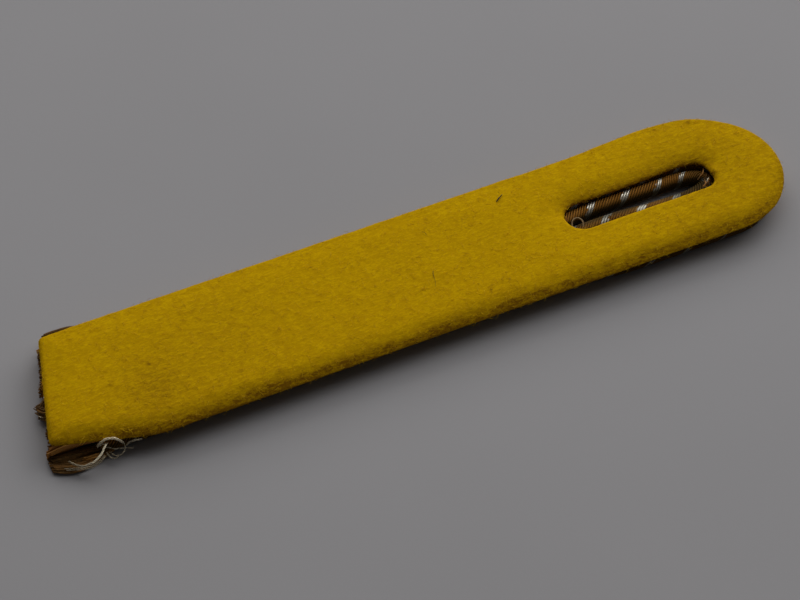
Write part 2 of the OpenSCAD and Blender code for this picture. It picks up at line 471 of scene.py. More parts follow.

# Soil on the cloth, and painted shade on its side faces and lips. Places and lengths are in mm from
# the centre of the head.
soilAndPaintedShadeSizes = {
    # the edge: soil all round and more on the near side; the near lip gets soil and painted shade,
    # the far edge's rim painted shade
    "rim": 0.10, "rimReach": 1.6, "nearRim": 0.30,
    "nearLip": 0.36, "nearLipReach": 0.8, "farLip": 0.3, "farLipReach": 0.45,
    # a broken dark line just inside the near edge, and soft clouds beside it
    "line": 0.55, "lineAt": 0.95, "lineWide": 0.38, "cloud": 0.2,
    # painted shade on the cloth's side, below its rim: in the slot, along the near edge, and by the
    # cut
    "sideHigh": 1.1, "slotSide": 0.9, "nearSide": 0.15, "cutSide": 0.75,
    # the slot's rim: soil all round, and on its far side soil with painted shade
    "slotRim": 0.14, "slotFarLip": 0.4,
    # wide stains: place, size both ways, how dark
    "stains": [(-93.0, -4.6, 4.6, 4.8, 0.34), (-80.0, 0.0, 8.0, 7.0, 0.10)],
    # stains of the near edge: place and length along it, place and width across it, how dark
    "edgeStains": [(-103.0, 7.0, 0.1, 1.1, 0.12), (-92.0, 17.0, 0.0, 3.4, 0.10)],
    # slow changes along the strap: where each starts, its length, how dark
    "shades": [(-70.0, -18.0, 0.05), (-26.0, 20.0, 0.06), (-10.0, 12.0, 0.10)],
    # spots: place, size, how dark
    "spots": [
        (-92.2, -0.3, 0.28, 0.8), (-21.8, 5.8, 0.42, 0.45), (8.2, 4.8, 0.4, 0.35),
        (-58.0, -1.0, 0.3, 0.2), (0.9, -0.6, 0.42, 0.9), (0.2, -0.4, 0.45, 0.7),
        (2.6, 10.4, 0.35, 0.55), (3.4, 10.2, 0.3, 0.4), (-3.1, 11.3, 0.4, 0.5),
        (-4.0, 11.4, 0.3, 0.35), (9.4, -3.4, 0.3, 0.5), (9.9, -3.0, 0.25, 0.4),
        (9.2, 0.2, 0.22, 0.45), (9.2, 3.0, 0.22, 0.4), (-40.8, -8.2, 0.25, 0.8),
        (-75.5, -9.2, 0.5, 0.3), (-98.0, -6.5, 0.3, 0.35), (-15.5, -8.0, 0.3, 0.3),
        (-41.5, 0.4, 0.22, 0.3), (5.5, -9.4, 0.4, 0.4), (-80.5, -7.1, 0.25, 0.8)],
}


def wander(x, y, size, seed=0.0):
    return noise.noise(Vector((x / size, y / size, seed)))


# Of each point of a loop, the way out.
def outwardOf(loop):
    step = np.roll(loop, -1, axis=0) - np.roll(loop, 1, axis=0)
    step /= np.linalg.norm(step, axis=1)[:, None]
    return np.stack([step[:, 1], -step[:, 0]], axis=1)


def insideOf(points, loop):
    inside = np.zeros(len(points), dtype=bool)
    a, b = loop, np.roll(loop, -1, axis=0)
    for (ax, ay), (bx, by) in zip(a, b):
        crosses = (ay > points[:, 1]) != (by > points[:, 1])
        if ay != by:
            inside ^= crosses & (points[:, 0] < (bx - ax) * (points[:, 1] - ay) / (by - ay) + ax)
    return inside


def distanceTo(points, loop):
    best = np.full(len(points), 1e9)
    for start in range(0, len(points), 4000):
        part = points[start:start + 4000]
        gap = np.linalg.norm(part[:, None, :] - loop[None, :, :], axis=2)
        best[start:start + 4000] = gap.min(axis=1)
    return best


# Triangles between two loops, on a grid of shifted, slightly uneven rows.
def fillBetween(outer, inner, spacing, seed):
    draw = random.Random(seed)
    low, high = outer.min(axis=0), outer.max(axis=0)
    rows = []
    y, odd = low[1], 0
    while y < high[1]:
        x = low[0] + odd * spacing / 2
        while x < high[0]:
            rows.append((x + draw.uniform(-0.2, 0.2) * spacing,
                         y + draw.uniform(-0.2, 0.2) * spacing))
            x += spacing
        y += spacing * 0.866
        odd = 1 - odd
    grid = np.array(rows)
    grid = grid[insideOf(grid, outer) & ~insideOf(grid, inner)]
    clear = np.minimum(distanceTo(grid, outer), distanceTo(grid, inner)) > 0.55 * spacing
    grid = grid[clear]
    points = [Vector(p) for p in np.vstack([outer, inner, grid])]
    n, m = len(outer), len(inner)
    edges = [(i, (i + 1) % n) for i in range(n)] + [(n + i, n + (i + 1) % m) for i in range(m)]
    made = geometry.delaunay_2d_cdt(points, edges, [], 0, 1e-6)
    back = [origin[0] for origin in made[3]]
    centres = np.array([np.mean([points[back[k]] for k in face], axis=0) for face in made[2]])
    keep = insideOf(centres, outer) & ~insideOf(centres, inner)
    return grid, [tuple(back[k] for k in face) for face, kept in zip(made[2], keep) if kept]


# How soiled each point of the cloth is, with painted shade added on its side faces and lips, from 0
# to 1.
def clothSoilAndPaintedShade(s, points, edgeGaps, slotGaps):
    soilAndPaintedShade = []
    for (x, y, z), edge, slot in zip(points, edgeGaps, slotGaps):
        near = ease((2.0 - y - 4.5 * ease(x / 8.0)) / 12.0)
        side = 1 - ease((z - clothZ) / s["sideHigh"])
        reach = s["rimReach"] * (1.0 + 0.35 * wander(x, y, 9.0, 5.5))
        broken = 0.5 + 1.5 * wander(x, y, 1.8, 6.1) + 0.8 * wander(x, y, 7.0, 2.6)
        line = s["line"] * bell((edge - s["lineAt"]) / s["lineWide"]) * min(max(broken, 0.0), 1.0)
        dark = bell(edge / reach) * (s["rim"] + s["nearRim"] * near) + line * near
        # the near lip: soil, with painted shade on its side face
        dark += s["nearLip"] * bell(edge / s["nearLipReach"]) * near ** 2
        # the edge is cleaner by the cut end and along the head
        dark *= 0.25 + 0.75 * ease((x + 108.0) / 9.0)
        dark *= 1.0 - 0.35 * ease((x + 28.0) / 18.0)
        dark += s["cloud"] * max(0.0, wander(x, y, 5.0, 8.8)) * near
        # the far edge: its lit rim toned darker, painted shade
        dark += s["farLip"] * bell(edge / s["farLipReach"]) * (1 - near)
        # the slot: soil round its rim, painted shade on its side wall below the rim
        dark += s["slotRim"] * bell(slot / 1.3) + s["slotSide"] * bell(slot / 0.5) * side
        # the slot's far lip: soil and painted shade
        dark += s["slotFarLip"] * bell(slot) * ease((y - 1.5) / 1.5)
        # painted shade on the cloth's side below its rim, along the near edge and most by the cut
        below = s["nearSide"] + s["cutSide"] * bell((x + 98.0) / 5.5)
        dark += below * bell(edge / 0.6) * side * near
        for atX, atY, wide, high, amount in s["stains"]:
            dark += amount * bell((x - atX) / wide) * bell((y - atY) / high)
        for atX, wide, inset, high, amount in s["edgeStains"]:
            dark += amount * bell((x - atX) / wide) * bell((edge - inset) / high) * near
        for start, length, amount in s["shades"]:
            dark += amount * ease((x - start) / length)
        for atX, atY, size, amount in s["spots"]:
            dark += amount * bell(math.hypot(x - atX, y - atY) / size)
        soilAndPaintedShade.append(min(dark, 1.0))
    return soilAndPaintedShade


def makeCloth(s):
    rim = evenly(clothOutline(), s["rimSpacing"])
    hole = evenly(slotOutline(), s["rimSpacing"] * 0.8)
    thick = strap["clothT"]
    profile = [(s["underR"] * a, s["underR"] * b)
               for a, b in ((1, 0), (0.55, 0.3), (0.22, 0.62), (0.05, 1))]
    underSteps = len(profile)
    for i in range(s["edgeSteps"] + 1):
        a = math.radians(90 * i / s["edgeSteps"])
        profile.append((s["edgeR"] * (1 - math.cos(a)), thick - s["edgeR"] * (1 - math.sin(a))))

    # the top falls towards its edge, and more so along the near side
    def nearSide(y):
        return ease((-3.0 - y) / 4.5)

    def topDrop(inset, y):
        near = nearSide(y) * max(0.0, 1 - inset / s["nearReach"]) ** 1.7
        return s["crownDrop"] * bell(inset / s["crownReach"]) + s["nearDrop"] * near

    # the far lip of the slot is worn round
    def lipDrop(y, inset):
        return s["farLipDrop"] * ease((y + 0.6) / 2.2) * bell(inset / s["farLipReach"])

    vertices, faces = [], []

    # rings of points round a loop, one for each step of the edge's profile
    def addRings(loop, outer):
        starts, away = [], outwardOf(loop)
        for j, (inwards, up) in enumerate(profile):
            starts.append(len(vertices))
            for (x, y), (ax, ay) in zip(loop, away):
                inset = inwards
                if outer and j >= underSteps:
                    inset *= 1 + s["nearRound"] * nearSide(y) * ease((x - cutX(y) - 1.5) / 4.0)
                rough = s["edgeWander"] * wander(x, y, 4.5, 3.1) * (1 - inset / 0.8)
                rough += s["edgeFuzz"] * wander(x, y, 0.8, 7.0 + j * 0.35)
                if outer:
                    drop = topDrop(inset, y)
                else:
                    drop = s["slotDrop"] * topDrop(inset, 0) + lipDrop(y, inset)
                e = inset - rough if outer else rough - inset
                vertices.append((x - ax * e, y - ay * e, clothZ + up - drop * up / thick))
        for low, high in zip(starts, starts[1:]):
            for i in range(len(loop)):
                k = (i + 1) % len(loop)
                faces.append((low + i, low + k, high + k, high + i))
        return starts

    outStarts, holeStarts = addRings(rim, True), addRings(hole, False)
    for level, spacing, seed in ((-1, s["topSpacing"], 11), (0, s["underSpacing"], 12)):
        ids = [outStarts[level] + i for i in range(len(rim))]
        ids += [holeStarts[level] + i for i in range(len(hole))]
        ends = np.array([vertices[k][:2] for k in ids])
        grid, triangles = fillBetween(ends[:len(rim)], ends[len(rim):], spacing, seed)
        ids += range(len(vertices), len(vertices) + len(grid))
        for (x, y), a, b in zip(grid, distanceTo(grid, rim), distanceTo(grid, hole)):
            if level == 0:
                vertices.append((x, y, clothZ))
                continue
            settle = min(1.0, (min(a, b) - 0.6) / 1.2)
            z = clothZ + thick - topDrop(a, y) - s["slotDrop"] * topDrop(b, 0) - lipDrop(y, b)
            z += settle * s["swell"] * wander(x, y, 8.0, 1.7)
            z += settle * s["lump"] * (wander(x, y, 1.3, 4.4) + 0.6 * wander(x, y, 0.62, 9.2))
            vertices.append((x, y, z))
        for face in triangles:
            turned = tuple(ids[k] for k in face)
            faces.append(turned if level else turned[::-1])
    placed = np.array(vertices)
    flat = placed[:, :2]
    soilAndPaintedShade = clothSoilAndPaintedShade(soilAndPaintedShadeSizes, placed, distanceTo(flat, rim), distanceTo(flat, hole))
    placed[:, :2] += shift
    cloth = meshPiece("wool_underlay", placed, faces, woolCloth)
    work = bmesh.new()
    work.from_mesh(cloth.data)
    bmesh.ops.recalc_face_normals(work, faces=work.faces)
    loose = [e for e in work.edges if len(e.link_faces) != 2]
    print("cloth made: %d faces, %d open edges" % (len(work.faces), len(loose)))
    work.to_mesh(cloth.data)
    work.free()
    giveAttribute(cloth.data, "soilAndPaintedShade", soilAndPaintedShade)
    return cloth


cloth = makeCloth(clothSizes)


# Geometry node trees. Each has named inputs, and ends in Realize Instances and Set Material.
def newTree(name, sizes):
    inputs = {"Geometry": None, **sizes, "Material": None}
    tree = bpy.data.node_groups.new(name, "GeometryNodeTree")
    tree.interface.new_socket(name="Geometry", in_out="OUTPUT", socket_type="NodeSocketGeometry")
    kinds = {"Geometry": "NodeSocketGeometry", "Material": "NodeSocketMaterial"}
    for label, value in inputs.items():
        number = "NodeSocketInt" if isinstance(value, int) else "NodeSocketFloat"
        socket = tree.interface.new_socket(
            name=label, in_out="INPUT", socket_type=kinds.get(label, number))
        if value is not None:
            socket.default_value = value
    g = Graph(tree)
    start = tree.nodes.new("NodeGroupInput")
    return g, {label: Wire(g, start.outputs[label]) for label in inputs}


def store(g, geometry, name, value, domain="POINT"):
    return g.node("GeometryNodeStoreNamedAttribute", {"data_type": "FLOAT", "domain": domain},
                  {"Geometry": geometry, "Name": name, "Value": value})


def circle(g, points, radius):
    return g.node("GeometryNodeCurvePrimitiveCircle", {"mode": "RADIUS"},
                  {"Resolution": points, "Radius": radius})


def sweep(g, line, ring, **more):
    return g.node("GeometryNodeCurveToMesh", {}, {
        "Curve": line, "Profile Curve": ring, "Fill Caps": True, **more})


def endTree(g, result, material):
    result = g.node("GeometryNodeSetShadeSmooth", {}, {"Geometry": result, "Shade Smooth": True})
    result = g.node("GeometryNodeRealizeInstances", {}, {"Geometry": result})
    result = g.node("GeometryNodeSetMaterial", {}, {"Geometry": result, "Material": material})
    end = g.tree.nodes.new("NodeGroupOutput")
    g.tree.links.new(result.socket, end.inputs[0])
    return g.tree


# Turns an object and a tree into a plain mesh. The tree's inputs are set by identifier, and one
# that isn't among the values keeps its default.
def grow(name, source, tree, values, material, keep=False):
    modifier = source.modifiers.new("grow", "NODES")
    modifier.node_group = tree
    for item in tree.interface.items_tree:
        if item.item_type == "SOCKET" and item.in_out == "INPUT":
            if item.name == "Material":
                modifier[item.identifier] = material
            elif item.name in values:
                modifier[item.identifier] = values[item.name]
    depsgraph = bpy.context.evaluated_depsgraph_get()
    mesh = bpy.data.meshes.new_from_object(
        source.evaluated_get(depsgraph), preserve_all_data_layers=True, depsgraph=depsgraph)
    mesh.name = name
    source.modifiers.remove(modifier)
    if not keep:
        bpy.data.objects.remove(source)
    made = newObject(name, mesh)
    print("%s: %d faces" % (name, len(mesh.polygons)))
    return made


# A line, or several, as a mesh of edges with the given values at its points.
def linePiece(name, lines, **values):
    vertices, edges = [], []
    for line in lines:
        first = len(vertices)
        vertices += [tuple(float(c) * mm for c in p) for p in line]
        edges += [(first + i, first + i + 1) for i in range(len(line) - 1)]
    mesh = bpy.data.meshes.new(name)
    mesh.from_pydata(vertices, edges, [])
    for label, numbers in values.items():
        giveAttribute(mesh, label, numbers)
    return newObject(name, mesh)


# A cord is swept with a ring of ridges that turns as it goes, one ridge for each thread.
cordSizes = {
    "radius": 1.225, "groove": 0.30, "threads": 12, "ringPoints": 6, "step": 0.27,
    "turnL": 8.0, "wander": 0.018, "slackSize": 9.090909, "roughSize": 0.7142857,
    # how far round the head it starts to turn more, and how its ends lean at the cut
    "turnAfter": 7.0, "leanL": 2.0, "leanHalf": 1.6,
}


def woundCordTree(s):
    g, put = newTree("woundCord", {
        "Radius": s["radius"] * mm, "Groove": s["groove"] * mm, "Threads": s["threads"],
        "Silver Threads": 2, "Pitch": 6.0 * mm, "Phase": 0.0, "Slip": 0.0, "Turn Start": 0.1,
        "Turn Length": s["turnL"] * mm, "Step": s["step"] * mm, "Unevenness": s["wander"] * mm})
    line = g.node("GeometryNodeMeshToCurve", {}, {"Mesh": put["Geometry"]})
    line = g.node("GeometryNodeResampleCurve", {"mode": "LENGTH"},
                  {"Curve": line, "Length": put["Step"]})
    line = g.node("GeometryNodeSetCurveNormal", {"mode": "Z_UP"}, {"Curve": line})
    length = g.node("GeometryNodeSplineParameter", {}, {}, "Length")
    here = g.node("GeometryNodeInputPosition")
    slack = grain(g, here, s["slackSize"] * mm, 1.0) - 0.5
    turned = length.step(put["Turn Start"], put["Turn Start"] + put["Turn Length"])
    tilt = put["Phase"] + turned * put["Slip"] - length / put["Pitch"] * math.tau + slack * 0.5
    line = g.node("GeometryNodeSetCurveTilt", {}, {"Curve": line, "Tilt": tilt})
    line = store(g, line, "alongCord", length)
    perThread = s["ringPoints"]
    ring = circle(g, put["Threads"] * perThread, 1.0)
    index = g.node("GeometryNodeInputIndex")
    lobe = (index / perThread + 0.001).to("FLOOR")
    across = index / perThread - lobe - 0.5
    high = (1.0 - across * across * 4.0).to("MAXIMUM", 0.0).to("SQRT")
    far = put["Radius"] - put["Groove"] * (1.0 - high)
    angle = index * math.tau / (put["Threads"] * perThread)
    spot = g.node("ShaderNodeCombineXYZ", {}, {
        "X": angle.to("COSINE") * far, "Y": angle.to("SINE") * far})
    ring = g.node("GeometryNodeSetPosition", {}, {"Geometry": ring, "Position": spot})
    silver = (put["Silver Threads"] - lobe + 0.5).to("MINIMUM", 1.0).to("MAXIMUM", 0.0)
    for label, value in (("silver", silver), ("across", across), ("lobe", lobe)):
        ring = store(g, ring, label, value)
    skin = sweep(g, line, ring)
    rough = grain(g, here, s["roughSize"] * mm, 1.0) - 0.5
    normal = g.node("GeometryNodeInputNormal")
    push = g.node("ShaderNodeVectorMath", {"operation": "SCALE"},
                  {"Vector": normal, "Scale": rough * put["Unevenness"] * 2.0})
    skin = g.node("GeometryNodeSetPosition", {}, {"Geometry": skin, "Offset": push})
    return endTree(g, skin, put["Material"])


# Round strands along the edges of a mesh, as thick as their attribute says.
def strandTree():
    g, put = newTree("looseStrand", {"Sides": 6})
    line = g.node("GeometryNodeMeshToCurve", {}, {"Mesh": put["Geometry"]})
    thick = g.node("GeometryNodeInputNamedAttribute", {"data_type": "FLOAT"}, {"Name": "thick"})
    return endTree(g, sweep(g, line, circle(g, put["Sides"], mm), Scale=thick), put["Material"])


woundTree = woundCordTree(cordSizes)
looseTree = strandTree()

# Each cord: the pitch of its winding in mm, its turn at the start, how much more it turns round
# the head, how many threads are silver, how far short of the cut its near and far strand stay
# wound, and how early it turns.
cordRows = {
    1: dict(pitch=6.0, phase=4.392, slip=-3.387, silver=2, near=0.4, far=-0.1, early=3.0),
    2: dict(pitch=6.0, phase=1.086, slip=0.0, silver=2, near=0.3, far=-0.3, early=0.5),
    3: dict(pitch=6.1, phase=2.436, slip=0.0, silver=2, near=0.35, far=-0.1, early=0.0),
    4: dict(pitch=6.4, phase=4.455, slip=0.0, silver=1, near=7.5, far=9.0, early=0.0),
}


# Where a strand's winding starts, at the cut or near it.
def windingStart(loop, side, row):
    return strandStart(loop, side) + row["near" if side < 0 else "far"]


# A cord's way: its near strand, the turn round the head, and its far strand back.
def cordRoute(loop, row, steps=160):
    stop = strap["turnStep"] * (loop - 1) - strap["turnBack"] - row["early"]
    strands = []
    for side in (-1, 1):
        start = windingStart(loop, side, row)
        run = [start + (stop - start) * i / steps for i in range(steps)]
        strands.append([(x, strandY(loop, side, x)) for x in run])
    r = strap["openGap"] / 2 + offAxis(loop)
    bend = []
    for k in range(61):
        a = math.radians(-90 + 3 * k)
        inwards = strap["nearIn"] * (1 - math.sin(a)) / 2 if loop == 1 else 0.0
        bend.append((stop + (r + row["early"]) * math.cos(a), r * math.sin(a) + inwards))
    return strands[0] + bend + strands[1][::-1]


# 0 up to start, 1 from a length further on; a length below 0 runs the other way.
def fadeIn(values, start, length):
    return np.clip((values - start) / length, 0, 1)


def makeCord(s, loop):
    row = cordRows[loop]
    route = [(x + shift[0], y + shift[1], strap["cordD"] / 2) for x, y in cordRoute(loop, row)]
    line = linePiece("cordLine", [route])
    straight = -strandStart(loop, -1) - row["near"] - strap["turnBack"] - row["early"]
    cord = grow("wound_cord_%d" % loop, line, woundTree, {
        "Silver Threads": row["silver"], "Pitch": row["pitch"] * mm, "Phase": row["phase"],
        "Slip": row["slip"], "Turn Start": (straight + s["turnAfter"]) * mm}, woundCord)
    # the ends are leaned over into the slanted cut
    mesh = cord.data
    at = np.empty(3 * len(mesh.vertices), dtype=np.float32)
    mesh.vertices.foreach_get("co", at)
    at = at.reshape(-1, 3)
    for side in (-1, 1):
        start = windingStart(loop, side, row)
        middle = strandY(loop, side, start) + shift[1]
        lean = np.clip(1 - (at[:, 0] / mm - shift[0] - start) / s["leanL"], 0, 1)
        lean *= np.abs(at[:, 1] / mm - middle) < s["leanHalf"]
        at[:, 0] += lean * strap["slant"] * (at[:, 1] - middle * mm)
    at[:, 2] = np.maximum(at[:, 2], 0.0)
    mesh.vertices.foreach_set("co", at.reshape(-1))
    mesh.update()
    # painted shade: darker on the innermost cord where the slot leaves it open, and on the
    # outermost cord's near flank under the cloth's edge
    x, y, z = at[:, 0] / mm - shift[0], at[:, 1] / mm - shift[1], at[:, 2] / mm
    soilAndPaintedShade = np.zeros(len(at))
    if loop == 1:
        farSide = fadeIn(z, 2.32, -0.45) + 0.6 * fadeIn(x, -4, 3)
        nearSide = 0.42 + 0.5 * fadeIn(y, -1.35, 0.5) + 0.5 * fadeIn(x, -9, 4)
        soilAndPaintedShade = np.clip(np.where(y > 0.3, farSide, nearSide), 0, 1) * (z > 0.5)
        soilAndPaintedShade *= fadeIn(x, -27, 4) * fadeIn(x, 2.5, -3)
    elif loop == strap["loops"]:
        soilAndPaintedShade = 0.85 * fadeIn(y, -8, -2) * fadeIn(z, 2.4, -0.6)
    giveAttribute(mesh, "soilAndPaintedShade", soilAndPaintedShade)
    return cord


cords = {loop: makeCord(cordSizes, loop) for loop in range(1, strap["loops"] + 1)}


# A smooth line through a few points, with as many steps between two of them as asked.
def smoothLine(points, steps):
    p = [Vector(q) for q in points]
    p = [p[0] * 2 - p[1]] + p + [p[-1] * 2 - p[-2]]
    line = []
    for i in range(1, len(p) - 2):
        for k in range(steps):
            t = k / steps
            a, b, c, d = p[i - 1], p[i], p[i + 1], p[i + 2]
            line.append(0.5 * ((2 * b) + (c - a) * t + (2 * a - 5 * b + 4 * c - d) * t * t
                               + (3 * b - a - 3 * c + d) * t * t * t))
    line.append(p[-2])
    return line


# Strands gathered into one piece: each has its line, its thickness, its tint, which may be a
# list along the line, and how much of the thickness is left at its tip.
class Strands:
    def __init__(self):
        self.lines, self.thick, self.tint = [], [], []

    def add(self, line, thick, tint, tip=0.5):
        self.lines.append([(p[0], p[1], max(p[2], thick + 0.01)) for p in line])
        count = len(line)
        for i in range(count):
            left = min(1.0, (count - 1 - i) / max(count * 0.25, 1))
            self.thick.append(thick * (tip + (1 - tip) * left))
            self.tint.append(tint[i] if isinstance(tint, list) else tint)

    def make(self, name, material, sides=6):
        line = linePiece(name + "_line", self.lines, thick=self.thick, tint=self.tint)
        return grow(name, line, looseTree, {"Sides": sides}, material)


# Tufts of brown thread at the cut, longest at the innermost cord.
endRows = [
    # loop, side, how far the threads stick out, how far they lean along the cut, how many
    (4, 1, 0.45, 0.0, 24), (3, 1, 0.6, 0.0, 34), (2, 1, 0.85, 0.0, 40), (1, 1, 1.5, -0.8, 64),
    (1, -1, 1.3, 1.5, 44), (2, -1, 0.4, 0.0, 20), (3, -1, 0.3, 0.0, 18),
]


def makeEndTufts():
    draw = random.Random(5)
    brown, pale = Strands(), Strands()
    radius = strap["cordD"] / 2
    for loop, side, reach, lean, count in endRows:
        start = strandStart(loop, side)
        y0 = strandY(loop, side, start) + shift[1]
        for i in range(count):
            r = radius * 0.86 * math.sqrt(draw.random())
            a = draw.uniform(0, math.tau)
            y, z = y0 + 0.55 * lean + 0.85 * r * math.cos(a), radius + r * math.sin(a)
            x = start + shift[0] + strap["slant"] * (y - y0)
            far = reach * (0.45 + 0.55 * draw.random() ** 1.5)
            bend = draw.uniform(-0.5, 0.5) * far + lean * far / reach
            drop = draw.uniform(-0.5, 0.25) * far
            line = smoothLine([
                (x + 0.8, y, z), (x, y, z), (x - 0.5 * far, y + 0.3 * bend, z + 0.4 * drop),
                (x - far, y + bend, z + drop)], 3)
            if draw.random() < 0.07:
                pale.add(line, 0.06, draw.random(), 0.6)
            else:
                brown.add(line, draw.uniform(0.11, 0.18), draw.uniform(0.0, 0.5), 0.7)
    return brown, pale


brownThreads, paleThreads = makeEndTufts()


# The outermost cord has come undone at both corners: bundles of its threads run under the cloth
# and on the floor. For each: its line of points in mm, how many strands, its half width and half
# height, how thick a strand is, how it waves, and its tint.
undoneRows = [
    # these two upper bundles are tinted light: painted light where they lie in the cloth's shadow
    ([(-52.0, -9.3, 2.1), (-54.0, -8.9, 2.45), (-56.5, -8.4, 2.6), (-59.0, -8.1, 2.4),
      (-61.3, -8.0, 1.75)], 30, 0.6, 0.5, 0.15, 0.07, 2.3),
    ([(-54.5, -8.4, 2.0), (-57.0, -8.0, 1.6), (-59.4, -7.7, 1.2), (-61.4, -7.9, 0.7)],
     20, 0.5, 0.5, 0.15, 0.07, 2.2),
    ([(-52.2, -10.1, 0.9), (-54.5, -10.5, 0.5), (-57.2, -10.9, 0.4), (-59.6, -10.4, 0.4),
      (-61.5, -9.5, 0.5)], 40, 1.0, 0.32, 0.15, 0.08, 0.45),
    ([(-52.2, -9.9, 0.9), (-54.5, -9.9, 0.4), (-57.2, -9.9, 0.35), (-59.6, -9.4, 0.4),
      (-61.4, -8.6, 0.5)], 32, 0.9, 0.3, 0.15, 0.08, 0.3),
    # dark threads filling the hollow between the bundles: painted shade
    ([(-51.8, -9.6, 1.1), (-54.6, -9.2, 0.9), (-57.8, -8.9, 0.8), (-61.0, -8.5, 0.7)],
     34, 0.9, 0.5, 0.15, 0.06, 0.2),
    # a few lighter threads: a painted highlight where the cord catches the light
    ([(-54.4, -10.6, 1.0), (-55.6, -10.6, 1.0), (-56.9, -10.3, 0.8)],
     8, 0.3, 0.25, 0.17, 0.05, 1.6),
    ([(-46.5, 10.8, 1.4), (-48.8, 12.05, 1.6), (-50.4, 12.55, 1.75), (-52.0, 12.65, 1.85),
      (-53.2, 12.55, 1.9), (-54.8, 12.5, 1.85)], 28, 0.42, 0.38, 0.15, 0.05, 0.15),
    ([(-46.5, 10.4, 0.9), (-49.5, 11.2, 0.8), (-53.0, 11.4, 0.7), (-56.2, 10.4, 0.7)],
     18, 0.9, 0.5, 0.2, 0.08, 1.0),
]


def makeUndone(brown):
    draw = random.Random(8)
    for points, count, width, height, thick, wave, tint in undoneRows:
        middle = smoothLine(points, 5)
        for i in range(count):
            a = draw.uniform(0, math.tau)
            r = math.sqrt(draw.random())
            phase, twist = draw.uniform(0, math.tau), draw.uniform(0.6, 1.6)
            line = []
            for k, p in enumerate(middle):
                t = k / (len(middle) - 1)
                off = (0.55 + 0.45 * t) * r
                swing, lift = math.sin(phase + twist * 6 * t), math.cos(phase + twist * 5 * t)
                line.append((p.x - draw.uniform(-0.05, 0.05),
                             p.y + off * math.cos(a) * width + wave * swing,
                             p.z + off * math.sin(a) * height + wave * 0.6 * lift))
            line = line[:len(line) - draw.randint(0, 2)]
            brown.add(line, thick * draw.uniform(0.8, 1.15), draw.uniform(0.35, 0.8) * tint, 0.7)
        # a core keeps light from showing through
        core = [(p.x, p.y, p.z - 0.1) for p in middle[:-2]]
        brown.add(core, min(width, height) * 0.75, 0.4 * tint)


makeUndone(brownThreads)

# Loose silver thread, nearly all of it at the near corner: a line of points in mm, how many wires
# lie round each other, how thick each is and how far off the line, and how bright it is at its
# start and its end.
silverRows = [
    ([(-59.0, -10.3, 1.6), (-58.6, -10.9, 1.6), (-58.0, -11.7, 1.7), (-57.3, -12.3, 1.9),
      (-56.6, -12.5, 2.2), (-55.9, -12.6, 2.4), (-55.1, -12.3, 2.6), (-54.4, -11.9, 2.8),
      (-53.9, -11.4, 3.0), (-53.3, -10.9, 3.1)], 3, 0.085, 0.09, -0.15, 1.6),
    ([(-60.1, -10.8, 0.7), (-59.1, -11.2, 0.8), (-58.2, -11.6, 0.9), (-57.3, -12.1, 1.1),
      (-56.2, -12.4, 1.3), (-55.3, -12.4, 1.6), (-54.5, -12.1, 1.8), (-54.0, -11.8, 2.0)],
     4, 0.05, 0.17, 0.45, 0.1),
    ([(-54.5, -9.8, 1.7), (-54.2, -9.9, 2.4), (-53.7, -10.1, 3.0), (-53.2, -10.2, 3.4),
      (-52.5, -10.4, 3.5), (-51.9, -10.6, 3.4), (-51.3, -10.8, 2.9), (-50.8, -10.9, 2.2)],
     4, 0.065, 0.13, 1.1, 1.1),
    ([(-54.2, -9.9, 1.9), (-53.7, -10.0, 2.3), (-53.3, -10.3, 2.5), (-52.9, -10.4, 2.6)],
     2, 0.06, 0.07, 0.4, 0.4),
    ([(-53.2, -10.4, 1.9), (-52.3, -10.9, 1.6), (-51.6, -11.1, 1.5), (-50.7, -11.4, 1.5),
      (-49.6, -11.7, 1.3)], 2, 0.05, 0.05, 0.5, 0.5),
    ([(-50.5, -11.2, 1.8), (-49.9, -11.2, 2.3), (-49.2, -11.4, 2.5), (-48.6, -11.6, 2.6),
      (-48.2, -11.7, 2.6)], 2, 0.065, 0.07, 0.5, 0.5),
    ([(-53.5, -11.1, 1.6), (-53.3, -11.7, 1.3), (-52.9, -12.1, 1.1), (-52.5, -12.3, 1.2),
      (-52.1, -12.3, 1.5)], 2, 0.06, 0.06, 0.4, 0.4),
    ([(-53.1, -11.2, 1.7), (-52.8, -11.6, 1.5), (-52.5, -11.9, 1.3), (-51.8, -12.0, 1.2)],
     2, 0.045, 0.05, 0.2, 0.2),
    ([(-60.1, -0.9, 1.6), (-59.9, -1.3, 1.7), (-59.6, -1.5, 1.6)], 1, 0.06, 0.0, 0.6, 0.6),
    ([(-50.74, -10.84, 2.2), (-50.75, -11.3, 1.9), (-50.92, -11.7, 1.6), (-51.35, -12.0, 1.4),
      (-51.9, -12.15, 1.3)], 2, 0.045, 0.06, 0.3, 0.3),
]


def makeSilver():
    draw = random.Random(21)
    silver = Strands()
    for points, wires, thick, off, first, last in silverRows:
        middle = smoothLine(points, 8)
        phase = draw.uniform(0, math.tau)
        for w in range(wires):
            line = []
            for k, p in enumerate(middle):
                a = phase + math.tau * w / wires + 0.33 * k
                along = (middle[min(k + 1, len(middle) - 1)] - middle[max(k - 1, 0)]).normalized()
                side = along.cross(Vector((0, 0, 1))).normalized()
                line.append(p + (side * math.cos(a) + along.cross(side) * math.sin(a)) * off)
            tint = draw.uniform(-0.1, 0.1)
            bright = [tint + first + (last - first) * ease(k / len(line)) for k in range(len(line))]
            skip = 2 * w if len(line) > 24 else 0
            silver.add(line[skip:], thick, bright[skip:], 0.75)
    return silver


silverThreads = makeSilver()


